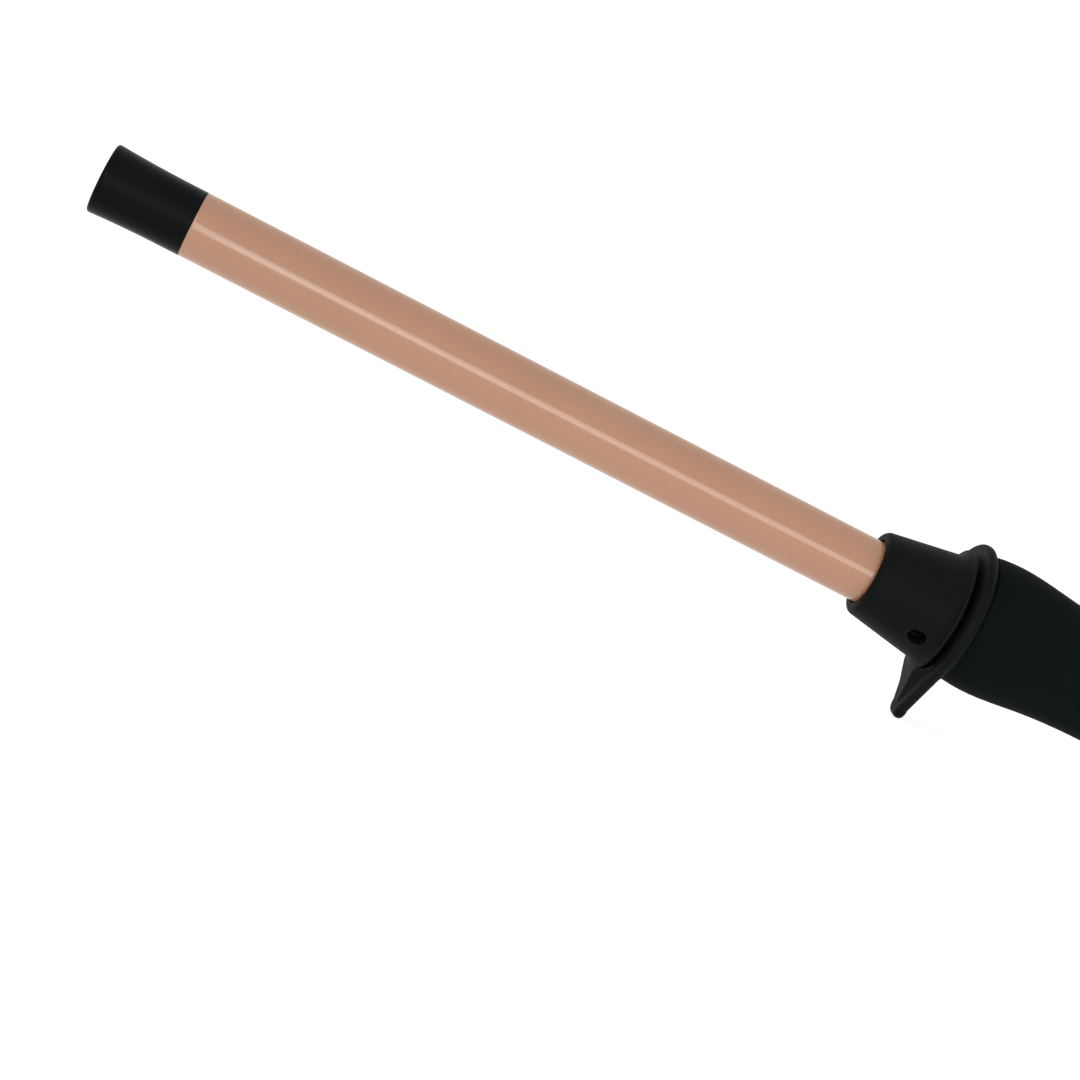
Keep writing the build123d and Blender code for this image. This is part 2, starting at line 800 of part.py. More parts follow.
def make_slip_rings():
    return [on_handle_axis(rod(x, x + slip_ring_width, slip_ring_dia / 2)
                           - rod(x, x + slip_ring_width, stub_dia / 2 + slip))
            for x in slip_ring_starts()]


def make_contact_plate():
    return on_handle_axis(rod(contact_back - contact_thick, contact_back, contact_dia / 2))


def make_contact_brushes():
    width, thick = brush_size
    near = slip_ring_dia / 2 + brush_gap
    strips = []
    for x, side in zip(slip_ring_starts(), (1, -1)):
        low, high = sorted((side * near, side * (near + thick)))
        strip = block(contact_back, x + slip_ring_width, -width / 2, width / 2, low, high)
        strips.append(on_handle_axis(strip))
    return strips


# ---- the pieces by name

pieces = {
    "cool_tip": make_cool_tip(),
    "tip_washer": make_tip_washer(),
    "barrel_tube": make_barrel_tube(),
    "heater_shoe_upper": make_heater_shoe(True),
    "heater_shoe_lower": make_heater_shoe(False),
    "ptc_plates": make_ptc_plates(),
    "electrodes": make_electrodes(),
    "insulating_wrap": make_insulating_wrap(),
    "shoe_spring": make_shoe_spring(),
    "thermistor": make_thermistor(),
    "barrel_bush": make_barrel_bush(),
    "collar": make_collar(),
    "collar_screws": make_collar_screws(),
    "stand_ring": make_stand_ring(),
    "handle_near": make_shell(-1),
    "handle_far": make_shell(1),
    "handle_screws": make_handle_screws(),
    "control_panel": make_control_panel(),
    "display_lens": make_display_lens(),
    "display_module": make_display_module(),
    "control_board": make_control_board(),
    "switch_cases": make_switch_cases(),
    "power_board": make_power_board(),
    "capacitor": standing(capacitor_front, capacitor_size),
    "triac": standing(triac_front, triac_size),
    "mains_fuse": make_mains_fuse(),
    "terminal_block": standing(terminal_front, terminal_size),
    "thermal_fuse": make_thermal_fuse(),
    "heater_leads": make_heater_leads(),
    "sensor_leads": make_sensor_leads(),
    "mains_leads": make_mains_leads(),
    "end_collar": make_end_collar(),
    "swivel": make_swivel(),
    "swivel_clip": make_swivel_clip(),
    "slip_rings": make_slip_rings(),
    "contact_plate": make_contact_plate(),
    "contact_brushes": make_contact_brushes(),
}
for name in key_places:
    pieces[f"{name}_button"] = make_key(name)
    pieces[f"{name}_plunger"] = make_plunger(name)

# ---- laid down on the table

end_centre = Vector(handle_back - end_edge, 0, handle_rise - end_dia / 2 + end_edge)
foot_mid = Vector(stand_front + stand_thick / 2, 0, -prong_reach)
to_end = end_centre - foot_mid
rest_lean = math.degrees(math.atan2(to_end.Z, to_end.X) - math.asin(end_edge / to_end.length))
# the handle swells a little ahead of its rounded end, so the lean is eased until its belly just touches
shells = Compound([*pieces["handle_near"].solids(), *pieces["handle_far"].solids()])
for trial in range(2):
    lay = Rot(0, rest_lean, 0)
    sunk = (lay * Pos(foot_mid)).position.Z - (lay * shells).bounding_box().min.Z
    rest_lean -= math.degrees(sunk / to_end.length)
lay = Rot(0, rest_lean, 0)
length_box = (lay * Compound([*pieces["cool_tip"].solids(), *pieces["swivel"].solids()])).bounding_box()
sole_height = (lay * Pos(foot_mid)).position.Z
at_rest = Pos(-length_box.center().X, 0, -sole_height) * lay
floor_cut = Pos(0, 0, -stand_dia / 2) * Box(2 * stand_dia, stand_dia, stand_dia)

os.makedirs("parts", exist_ok=True)
for name, piece in pieces.items():
    solids = piece if isinstance(piece, list) else [piece]
    placed = [at_rest * solid for solid in solids]
    if name == "stand_ring":
        placed = [placed[0] - Pos(placed[0].center().X, 0, 0) * floor_cut]
    whole = placed[0] if len(placed) == 1 else Compound([s for p in placed for s in p.solids()])
    export_step(whole, f"parts/{name}.step")
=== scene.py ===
import bmesh
import bpy
import json
import math
import numpy as np
from mathutils import Matrix, Vector


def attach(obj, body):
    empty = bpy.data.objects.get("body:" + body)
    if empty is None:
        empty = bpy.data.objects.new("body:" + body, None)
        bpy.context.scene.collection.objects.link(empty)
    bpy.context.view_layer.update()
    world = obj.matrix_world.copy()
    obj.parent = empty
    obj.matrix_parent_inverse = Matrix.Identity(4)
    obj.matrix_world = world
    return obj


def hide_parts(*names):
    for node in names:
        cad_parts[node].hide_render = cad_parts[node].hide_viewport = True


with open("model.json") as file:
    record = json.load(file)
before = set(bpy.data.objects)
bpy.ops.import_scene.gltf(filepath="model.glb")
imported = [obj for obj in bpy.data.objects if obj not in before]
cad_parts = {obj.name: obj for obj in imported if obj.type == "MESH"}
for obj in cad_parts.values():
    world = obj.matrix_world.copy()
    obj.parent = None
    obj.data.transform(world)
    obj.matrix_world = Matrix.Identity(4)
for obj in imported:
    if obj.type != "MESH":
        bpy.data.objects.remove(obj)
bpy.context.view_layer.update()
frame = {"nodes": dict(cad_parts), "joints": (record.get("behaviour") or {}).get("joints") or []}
print("frame loaded:", len(frame["nodes"]), "nodes")

mm = 0.001
weldGap = 0.0005         # mm, corners closer than this become one
sharpAngle = 40.0        # degrees, edges sharper than this stay crisp

# The wand lies nose up on its prong. Shapes are worked out in millimetres along its own axis, x from
# the cool tip's joint back to the cord and z away from the prong, and then carried into place.
wand = {
    "barrelWall": 0.5,
    "slip": 0.05,            # between the tube and what is pushed into it
}

outletJoint = next(joint for joint in frame["joints"] if joint["name"] == "outlet_turn")
alongWand = np.array(outletJoint["axis"], float)
acrossWand = np.array((0.0, 1.0, 0.0))
upWand = np.cross(alongWand, acrossWand)
wandToWorld = np.column_stack((alongWand, acrossWand, upWand))
wandLean = math.atan2(-alongWand[2], alongWand[0])


def nodeBox(name, origin=(0.0, 0.0, 0.0)):
    # lowest and highest corners of a node in wand millimetres, measured from origin
    mesh = frame["nodes"][name].data
    points = np.empty(len(mesh.vertices) * 3)
    mesh.vertices.foreach_get("co", points)
    points = (points.reshape(-1, 3) - origin) @ wandToWorld / mm
    return points.min(axis=0), points.max(axis=0)


# the barrel tube starts at the cool tip's joint and its axis is the wand's
tubeLow, tubeHigh = nodeBox("barrel_tube")
wandStart = wandToWorld @ np.array((tubeLow[0], 0.0, (tubeLow[2] + tubeHigh[2]) / 2)) * mm
tubeLength = tubeHigh[0] - tubeLow[0]
tubeR = (tubeHigh[2] - tubeLow[2]) / 2
boreR = tubeR - wand["barrelWall"]


def placed(points):
    # wand millimetres to world metres
    return np.asarray(points, float) @ wandToWorld.T * mm + wandStart


def boxOf(name):
    return nodeBox(name, wandStart)


print("wand placed, tube", round(tubeLength, 2), "mm, lean", round(math.degrees(wandLean), 2), "degrees")

view = {
    "lens": 82.94,
    "sensor": 36.0,
    "eye": (17.49, -456.39, 64.14),      # wand millimetres
    "aim": (83.83, 0.0, -23.23),
    "roll": 28.41,                       # degrees, turned clockwise
}


def makeCamera():
    eye, aim = placed(view["eye"]), placed(view["aim"])
    forward = (aim - eye) / np.linalg.norm(aim - eye)
    level = np.cross(forward, upWand)
    level /= np.linalg.norm(level)
    above = np.cross(level, forward)
    turn = math.radians(view["roll"])
    right = level * math.cos(turn) + above * math.sin(turn)
    up = above * math.cos(turn) - level * math.sin(turn)
    data = bpy.data.cameras.new("camera")
    data.lens = view["lens"]
    data.sensor_width = view["sensor"]
    data.clip_start = 0.01
    data.clip_end = 50.0
    camera = bpy.data.objects.new("camera", data)
    bpy.context.scene.collection.objects.link(camera)
    axes = Matrix(np.column_stack((right, up, -forward)).tolist()).to_4x4()
    camera.matrix_world = Matrix.Translation(Vector(eye)) @ axes
    bpy.context.scene.camera = camera


makeCamera()
print("camera set")


# colours are written as sRGB hex and shaded as linear light
def hexLinear(code):
    parts = np.array([int(code[k:k + 2], 16) for k in (1, 3, 5)]) / 255
    linear = np.where(parts <= 0.04045, parts / 12.92, ((parts + 0.055) / 1.055) ** 2.4)
    return (*linear.tolist(), 1.0)


def addNode(tree, kind, settings=(), links=()):
    # settings are (property or socket, value), links are (socket, output that feeds it)
    node = tree.nodes.new("ShaderNode" + kind)
    for key, value in settings:
        if isinstance(key, str) and key in node.bl_rna.properties:
            setattr(node, key, value)
        else:
            node.inputs[key].default_value = value
    for key, output in links:
        tree.links.new(output, node.inputs[key])
    return node


studio = {
    "worldLight": 1.02,
    "floorColour": "#A8A8A6",
    "floorGlow": 0.8,
    "floorSize": 12.0,          # m
}

# Soft lamps, in wand millimetres: a long strip whose reflection is the bright line along the barrel,
# a gridded box under it that widens the line near the tip, and a slanted strip for the cool tip.
lamps = {
    "front strip": {
        "place": (199.0, -295.5, 31.4), "target": (199.0, 0.0, 0.0), "size": (424.0, 90.0),
        "watts": 0.33, "turn": 0.0, "spread": 180.0,
    },
    "gridded box": {
        "place": (119.0, -309.4, -67.6), "target": (193.0, -5.0, -35.6), "size": (262.0, 200.0),
        "watts": 0.05, "turn": 0.0, "spread": 60.0,
    },
    "tip strip": {
        "place": (-56.0, -280.2, 140.4), "target": (-9.0, 0.0, 0.0), "size": (210.0, 40.0),
        "watts": 0.12, "turn": 105.0, "spread": 180.0,
    },
}


def makeStudio():
    scene = bpy.context.scene
    scene.view_settings.view_transform = "Standard"
    scene.view_settings.look = "None"
    world = bpy.data.worlds.new("white room")
    world.use_nodes = True
    background = world.node_tree.nodes["Background"]
    background.inputs["Color"].default_value = (1.0, 1.0, 1.0, 1.0)
    background.inputs["Strength"].default_value = studio["worldLight"]
    scene.world = world

    # backlit frosted acrylic table: glows evenly, so it stays pale under the wand
    material = bpy.data.materials.new("frosted acrylic table, backlit")
    material.use_nodes = True
    shader = material.node_tree.nodes["Principled BSDF"]
    shader.inputs["Base Color"].default_value = hexLinear(studio["floorColour"])
    shader.inputs["Roughness"].default_value = 0.9
    shader.inputs["Specular IOR Level"].default_value = 0.0
    shader.inputs["Emission Color"].default_value = (1.0, 1.0, 1.0, 1.0)
    shader.inputs["Emission Strength"].default_value = studio["floorGlow"]
    half = studio["floorSize"] / 2
    mesh = bpy.data.meshes.new("floor")
    corners = [(-half, -half, 0), (half, -half, 0), (half, half, 0), (-half, half, 0)]
    mesh.from_pydata(corners, [], [(0, 1, 2, 3)])
    mesh.materials.append(material)
    floor = bpy.data.objects.new("floor", mesh)
    scene.collection.objects.link(floor)


def softbox(name, lamp):
    # a rectangular lamp that faces its target, its long side turned from the wand's line by turn
    # degrees; the camera doesn't see it
    spot, goal = placed(lamp["place"]), placed(lamp["target"])
    facing = (goal - spot) / np.linalg.norm(goal - spot)
    level = alongWand - facing * (alongWand @ facing)
    level /= np.linalg.norm(level)
    turn = math.radians(lamp["turn"])
    side = level * math.cos(turn) + np.cross(level, facing) * math.sin(turn)
    data = bpy.data.lights.new(name, "AREA")
    data.shape = "RECTANGLE"
    data.size, data.size_y = lamp["size"][0] * mm, lamp["size"][1] * mm
    data.energy = lamp["watts"]
    data.spread = math.radians(lamp["spread"])
    box = bpy.data.objects.new(name, data)
    axes = Matrix(np.column_stack((side, np.cross(-facing, side), -facing)).tolist()).to_4x4()
    box.matrix_world = Matrix.Translation(Vector(spot)) @ axes
    box.visible_camera = False
    bpy.context.scene.collection.objects.link(box)


makeStudio()
for name, lamp in lamps.items():
    softbox(name, lamp)
print("studio lit")


def newMaterial(name, settings):
    material = bpy.data.materials.new(name)
    material.use_nodes = True
    shader = material.node_tree.nodes["Principled BSDF"]
    for socket, value in settings:
        shader.inputs[socket].default_value = value
    return material, material.node_tree, shader


def wandCoords(tree):
    # Object coordinates turned into millimetres along, across and above the wand
    place = addNode(tree, "TexCoord")
    return addNode(
        tree, "Mapping",
        [("vector_type", "TEXTURE"), ("Location", wandStart), ("Rotation", (0.0, wandLean, 0.0)),
         ("Scale", (mm, mm, mm))],
        [("Vector", place.outputs["Object"])],
    ).outputs["Vector"]


def noiseFrom(tree, coords, size, detail=2.0, roughness=0.5, stretch=(1.0, 1.0, 1.0)):
    # noise whose grains are size millimetres across, longer along an axis with a small stretch
    scaled = addNode(tree, "Mapping", [("Scale", stretch)], [("Vector", coords)])
    return addNode(
        tree, "TexNoise", [("Scale", 1.0 / size), ("Detail", detail), ("Roughness", roughness)],
        [("Vector", scaled.outputs["Vector"])],
    ).outputs["Fac"]


def spread(tree, value, low, high, fromLow=0.0, fromHigh=1.0):
    return addNode(
        tree, "MapRange",
        [("From Min", fromLow), ("From Max", fromHigh), ("To Min", low), ("To Max", high)],
        [("Value", value)],
    ).outputs["Result"]


def tint(tree, factor, first, second):
    mix = addNode(
        tree, "Mix", [("data_type", "RGBA"), (6, hexLinear(first)), (7, hexLinear(second))],
        [(0, factor)],
    )
    return mix.outputs[2]


def bump(tree, shader, height, depth, strength=1.0):
    # depth in millimetres from the lowest to the highest of height
    node = addNode(
        tree, "Bump", [("Strength", strength), ("Distance", depth * mm)], [("Height", height)],
    )
    tree.links.new(node.outputs["Normal"], shader.inputs["Normal"])


def wornEdge(tree, radius, start, end):
    # 1 where a rounded stand-in normal differs from the true one, which is along outside edges
    eased = addNode(tree, "Bevel", [("samples", 6), ("Radius", radius * mm)])
    true = addNode(tree, "NewGeometry")
    match = addNode(
        tree, "VectorMath", [("operation", "DOT_PRODUCT")],
        [(0, eased.outputs["Normal"]), (1, true.outputs["Normal"])],
    )
    return spread(tree, match.outputs["Value"], 1.0, 0.0, end, start)


def rubbed(tree, rim, base, paler):
    # base colour with its worn rims paler
    mix = addNode(
        tree, "Mix", [("data_type", "RGBA"), (7, hexLinear(paler))], [(0, rim), (6, base)],
    )
    return mix.outputs[2]


def roseGoldCoat():
    # Sprayed and baked ceramic-titanium coat over a drawn aluminium tube: an even warm pink metal under
    # a thin clear gloss, with faint rings from polishing round the tube.
    material, tree, shader = newMaterial("baked rose gold ceramic coat, polished", [
        ("Metallic", 0.7), ("Specular IOR Level", 0.1), ("Specular Tint", hexLinear("#A08C80")),
        ("Coat Weight", 0.85), ("Coat Roughness", 0.13), ("Coat IOR", 1.65),
    ])
    coords = wandCoords(tree)
    clouds = noiseFrom(tree, coords, 14.0, detail=3.0)
    rings = noiseFrom(tree, coords, 0.35, detail=2.0, stretch=(1.0, 0.02, 0.02))
    colour = tint(tree, clouds, "#AB8063", "#B08467")
    tree.links.new(colour, shader.inputs["Base Color"])
    tree.links.new(spread(tree, rings, 0.78, 0.86), shader.inputs["Roughness"])
    peel = noiseFrom(tree, coords, 1.1, detail=1.0)      # spray peel, drawn a little coarse
    bump(tree, shader, peel, 0.002)
    return material


def mouldedBlack():
    # Glass-filled nylon moulded in a spark-eroded tool: dead black and dry, with a fine even grain and
    # rims that handling has rubbed a shade lighter.
    material, tree, shader = newMaterial("glass-filled nylon, spark-textured black", [
        ("IOR", 1.53), ("Specular IOR Level", 0.045),
    ])
    coords = wandCoords(tree)
    grain = noiseFrom(tree, coords, 0.22, detail=3.0, roughness=0.6)
    clouds = noiseFrom(tree, coords, 5.0, detail=2.0)
    rim = wornEdge(tree, 0.35, 0.995, 0.93)
    base = tint(tree, clouds, "#080A0A", "#0B0E0E")
    tree.links.new(rubbed(tree, rim, base, "#171B1C"), shader.inputs["Base Color"])
    tree.links.new(spread(tree, grain, 0.5, 0.62), shader.inputs["Roughness"])
    bump(tree, shader, grain, 0.012, 0.6)
    return material


def satinBlack():
    # Glass-filled PPS moulded in a polished tool: the cool tip's black is smoother than the collar's and
    # gives a lamp back as a soft bluish streak.
    material, tree, shader = newMaterial("glass-filled PPS, satin black", [
        ("IOR", 1.53), ("Specular IOR Level", 0.045),
    ])
    coords = wandCoords(tree)
    flow = noiseFrom(tree, coords, 3.0, detail=2.0, stretch=(0.35, 1.0, 1.0))
    tree.links.new(tint(tree, flow, "#050708", "#080A0B"), shader.inputs["Base Color"])
    tree.links.new(spread(tree, flow, 0.28, 0.38), shader.inputs["Roughness"])
    bump(tree, shader, noiseFrom(tree, coords, 0.3, detail=2.0), 0.003, 0.4)
    return material


def padPrint():
    # Two-part epoxy ink, pad-printed and baked: warm white, slightly chalky, thinner in its corners.
    material, tree, shader = newMaterial("pad-printed epoxy ink, white", [("IOR", 1.5)])
    coords = wandCoords(tree)
    chalk = noiseFrom(tree, coords, 0.35, detail=3.0)
    tree.links.new(tint(tree, chalk, "#B9B4AC", "#DAD6CE"), shader.inputs["Base Color"])
    tree.links.new(spread(tree, chalk, 0.5, 0.68), shader.inputs["Roughness"])
    return material


def milkySegment():
    # Diffusing epoxy over unlit light-emitting dies: milky grey, and lost behind the smoked window.
    material, tree, shader = newMaterial("diffusing epoxy, cast milky", [("IOR", 1.52)])
    coords = wandCoords(tree)
    cloud = noiseFrom(tree, coords, 0.8, detail=2.0)
    tree.links.new(tint(tree, cloud, "#A7A9A4", "#C3C4BE"), shader.inputs["Base Color"])
    tree.links.new(spread(tree, cloud, 0.3, 0.45), shader.inputs["Roughness"])
    return material


def softTouchBlack():
    # Soft-touch polyurethane paint over ABS shells: deep matt black that feels like skin, hardly
    # reflecting, with slightly smoother patches where palms have rubbed it.
    material, tree, shader = newMaterial("soft-touch polyurethane paint, black", [
        ("IOR", 1.5), ("Specular IOR Level", 0.012),
    ])
    coords = wandCoords(tree)
    speck = noiseFrom(tree, coords, 0.14, detail=2.0)
    palm = noiseFrom(tree, coords, 18.0, detail=3.0)
    tree.links.new(tint(tree, palm, "#0A0D0D", "#0D1111"), shader.inputs["Base Color"])
    tree.links.new(spread(tree, palm, 0.56, 0.66), shader.inputs["Roughness"])
    bump(tree, shader, speck, 0.006, 0.6)
    return material


def panelGloss():
    # Piano-black polycarbonate inlay, mirror-moulded: a sharp reflection broken by a faint ripple and
    # hairline wiping marks.
    material, tree, shader = newMaterial("polycarbonate inlay, mirror black", [
        ("IOR", 1.58), ("Specular IOR Level", 0.4), ("Base Color", hexLinear("#07090A")),
    ])
    coords = wandCoords(tree)
    wipes = noiseFrom(tree, coords, 0.12, detail=3.0, stretch=(0.06, 1.0, 1.0))
    ripple = noiseFrom(tree, coords, 4.0, detail=1.0)
    tree.links.new(spread(tree, wipes, 0.06, 0.16, 0.35, 0.75), shader.inputs["Roughness"])
    bump(tree, shader, ripple, 0.004, 0.5)
    return material


def smokedLens():
    # Smoked acrylic window, cast and polished: so dark that unlit digits hardly show behind it.
    material, tree, shader = newMaterial("smoked acrylic, polished", [
        ("IOR", 1.49), ("Transmission Weight", 0.92), ("Base Color", hexLinear("#3A3436")),
    ])
    coords = wandCoords(tree)
    haze = noiseFrom(tree, coords, 3.0, detail=2.0)
    tree.links.new(spread(tree, haze, 0.02, 0.05), shader.inputs["Roughness"])
    return material


def keyRubber():
    # Moulded silicone rubber keys: soft charcoal with a dusty, very fine grain.
    material, tree, shader = newMaterial("silicone rubber, moulded charcoal", [
        ("IOR", 1.43), ("Specular IOR Level", 0.3),
    ])
    coords = wandCoords(tree)
    grain = noiseFrom(tree, coords, 0.12, detail=3.0)
    rim = wornEdge(tree, 0.25, 0.995, 0.92)
    base = tint(tree, grain, "#1B1E20", "#23272A")
    tree.links.new(rubbed(tree, rim, base, "#3B3E40"), shader.inputs["Base Color"])
    tree.links.new(spread(tree, grain, 0.58, 0.72), shader.inputs["Roughness"])
    bump(tree, shader, grain, 0.008, 0.6)
    return material


def outletBlack():
    # Acetal swivel parts, smooth from the mould: black with a low waxy sheen and paler rims.
    material, tree, shader = newMaterial("acetal, moulded black", [
        ("IOR", 1.48), ("Specular IOR Level", 0.12),
    ])
    coords = wandCoords(tree)
    flow = noiseFrom(tree, coords, 2.4, detail=2.0)
    rim = wornEdge(tree, 0.3, 0.995, 0.92)
    base = tint(tree, flow, "#101314", "#161A1B")
    tree.links.new(rubbed(tree, rim, base, "#1F2324"), shader.inputs["Base Color"])
    tree.links.new(spread(tree, flow, 0.32, 0.42), shader.inputs["Roughness"])
    bump(tree, shader, noiseFrom(tree, coords, 0.3), 0.004, 0.5)
    return material


def screwSteelShadeDarkened():
    # Case-hardened steel with a black oxide finish: dull blue-black with a rolled, oily gleam. Its
    # colour is partly black oxide and partly painted shade: darker than the finish alone, so that the
    # screws sit as dark as the shade in their recesses.
    material, tree, shader = newMaterial("steel screw, black oxide darkened with painted shade", [("Metallic", 1.0)])
    coords = wandCoords(tree)
    blotch = noiseFrom(tree, coords, 0.6, detail=3.0)
    # both colours are black oxide deepened by painted shade, the shade of the screws' recesses
    tree.links.new(tint(tree, blotch, "#0B0C0D", "#141516"), shader.inputs["Base Color"])
    tree.links.new(spread(tree, blotch, 0.34, 0.52), shader.inputs["Roughness"])
    return material


def streakedMetal(name, dark, light, streak, stretch, rough):
    # a metal whose rolling or drawing left streaks, streak millimetres wide
    material, tree, shader = newMaterial(name, [("Metallic", 1.0)])
    coords = wandCoords(tree)
    lines = noiseFrom(tree, coords, streak, detail=3.0, stretch=stretch)
    tree.links.new(tint(tree, lines, dark, light), shader.inputs["Base Color"])
    tree.links.new(spread(tree, lines, *rough), shader.inputs["Roughness"])
    bump(tree, shader, lines, 0.004, 0.4)
    return material


def extrudedAluminium():
    # 6063 aluminium as extruded: pale grey with die lines running along the wand.
    return streakedMetal(
        "aluminium, as extruded", "#A9ABAD", "#C6C8CA", 0.25, (0.03, 1.0, 1.0), (0.3, 0.45),
    )


def brassStrip():
    # Rolled and slit brass strip: straw yellow, with rolling lines and a slight tarnish.
    return streakedMetal(
        "brass strip, rolled", "#B0894A", "#CFAE68", 0.2, (0.04, 1.0, 1.0), (0.25, 0.42),
    )


def springSteel():
    # Tempered spring steel: bluish straw heat tint over fine rolling lines.
    return streakedMetal(
        "spring steel, heat-tinted", "#6E6A66", "#8C8F96", 0.3, (0.05, 1.0, 1.0), (0.25, 0.4),
    )


def speckledSolid(name, dark, light, grain, rough, settings=(), depth=0.01):
    # a matt body with a grain of small specks, grain millimetres across
    material, tree, shader = newMaterial(name, settings)
    coords = wandCoords(tree)
    specks = noiseFrom(tree, coords, grain, detail=4.0, roughness=0.65)
    colour = tint(tree, spread(tree, specks, 0.0, 1.0, 0.35, 0.65), dark, light)
    tree.links.new(colour, shader.inputs["Base Color"])
    tree.links.new(spread(tree, specks, *rough), shader.inputs["Roughness"])
    bump(tree, shader, specks, depth, 0.5)
    return material


def mica():
    # Phlogopite mica board: amber-grey flakes pressed flat, with a pearly glint.
    material, tree, shader = newMaterial("mica board, pressed flakes", [("IOR", 1.58)])
    coords = wandCoords(tree)
    flakes = addNode(tree, "TexVoronoi", [("Scale", 0.8)], [("Vector", coords)])
    tone = addNode(tree, "SeparateColor", [], [("Color", flakes.outputs["Color"])]).outputs["Red"]
    tree.links.new(tint(tree, tone, "#8C7550", "#B39C72"), shader.inputs["Base Color"])
    tree.links.new(spread(tree, tone, 0.25, 0.5), shader.inputs["Roughness"])
    return material


def ptcCeramic():
    # Barium titanate heating tablets, pressed and fired: dark slate with a chalky grain.
    return speckledSolid("barium titanate ceramic, fired", "#3A3C40", "#55585C", 0.3, (0.6, 0.8))


def polyimideFilm():
    # Cast polyimide film: clear amber with a glossy skin and small creases.
    material, tree, shader = newMaterial("polyimide film, cast amber", [
        ("IOR", 1.7), ("Transmission Weight", 0.35), ("Coat Weight", 0.3),
    ])
    coords = wandCoords(tree)
    crease = noiseFrom(tree, coords, 2.0, detail=3.0)
    tree.links.new(tint(tree, crease, "#B4671B", "#D2872C"), shader.inputs["Base Color"])
    tree.links.new(spread(tree, crease, 0.15, 0.3), shader.inputs["Roughness"])
    bump(tree, shader, crease, 0.03, 0.5)
    return material


def glassBead():
    # Fused glass sleeve: pale green-grey glass over a lead wire, slightly wavy.
    material, tree, shader = newMaterial("glass sleeve, fused", [
        ("IOR", 1.52), ("Transmission Weight", 0.55),
    ])
    coords = wandCoords(tree)
    wave = noiseFrom(tree, coords, 1.5, detail=2.0)
    tree.links.new(tint(tree, wave, "#9FB0A4", "#C2CDC4"), shader.inputs["Base Color"])
    tree.links.new(spread(tree, wave, 0.05, 0.15), shader.inputs["Roughness"])
    return material


def bushResin():
    # Phenolic moulding compound: dark brown with wood-flour specks.
    return speckledSolid("phenolic compound, moulded brown", "#2A1A12", "#4A3222", 0.4, (0.4, 0.6))


def switchBlack():
    # Nylon switch bodies: plain moulded black with a light grain.
    return speckledSolid("nylon 66, moulded black", "#0F1112", "#1B1D1F", 0.2, (0.45, 0.65))


def displayBlock():
    # Epoxy-potted display block: matt dark grey face so that unlit segments hardly show.
    return speckledSolid("potted display face, matt grey", "#141516", "#1F2022", 0.15, (0.55, 0.75))


def boardGreen():
    # Glass-epoxy board under solder mask: translucent green that is darker over copper tracks.
    material, tree, shader = newMaterial("glass-epoxy board, green mask", [
        ("IOR", 1.55), ("Coat Weight", 0.4),
    ])
    coords = wandCoords(tree)
    tracks = addNode(
        tree, "TexBrick",
        [("Scale", 0.45), ("Color1", (0.0, 0.0, 0.0, 1.0)), ("Color2", (0.1, 0.1, 0.1, 1.0)),
         ("Mortar", (1.0, 1.0, 1.0, 1.0)), ("Mortar Size", 0.06), ("Row Height", 0.35)],
        [("Vector", coords)],
    )
    tree.links.new(tint(tree, tracks.outputs["Fac"], "#0C3B22", "#2C7A48"), shader.inputs["Base Color"])
    weave = noiseFrom(tree, coords, 0.4, detail=2.0)
    tree.links.new(spread(tree, weave, 0.25, 0.4), shader.inputs["Roughness"])
    bump(tree, shader, tracks.outputs["Fac"], 0.03, 0.5)
    return material


def filmCapacitor():
    # Polypropylene box capacitor: glossy yellow case with a slight sink in its faces.
    return speckledSolid("PBT capacitor case, moulded yellow", "#B98A1C", "#D0A22E", 2.5, (0.25, 0.4))


def componentBlack():
    # Transfer-moulded epoxy: grey-black with a sandy surface.
    return speckledSolid("epoxy package, transfer-moulded", "#17181A", "#2A2B2E", 0.12, (0.6, 0.8))


def siliconeLead():
    # Silicone-sleeved lead wire: chalk white sleeve with a dusty bloom.
    return speckledSolid("silicone sleeve, white", "#C9C6BE", "#DEDBD3", 0.5, (0.45, 0.6))


makers = {
    "rose_gold_coat": roseGoldCoat,
    "heatproof_black": mouldedBlack,
    "soft_touch_black": softTouchBlack,
    "panel_gloss": panelGloss,
    "smoked_lens": smokedLens,
    "key_rubber": keyRubber,
    "outlet_black": outletBlack,
    "black_screw_steel": screwSteelShadeDarkened,
    "extruded_aluminium": extrudedAluminium,
    "brass_strip": brassStrip,
    "spring_steel": springSteel,
    "mica": mica,
    "ptc_ceramic": ptcCeramic,
    "polyimide_film": polyimideFilm,
    "glass_bead": glassBead,
    "bush_resin": bushResin,
    "switch_black": switchBlack,
    "display_block": displayBlock,
    "board_green": boardGreen,
    "film_capacitor": filmCapacitor,
    "component_black": componentBlack,
    "silicone_lead": siliconeLead,
}
# finishes for new pieces, which the frame has no slot for
extraMakers = {"cool_tip": satinBlack, "key_print": padPrint, "display_segment": milkySegment}
finishes = {slot: maker() for slot, maker in {**makers, **extraMakers}.items()}

# every node's slot still carries the name that the frame gave it
for node in frame["nodes"].values():
    for k, old in enumerate(node.data.materials):
        node.data.materials[k] = finishes[old.name.split(".")[0]]
print("finishes:", len(finishes))


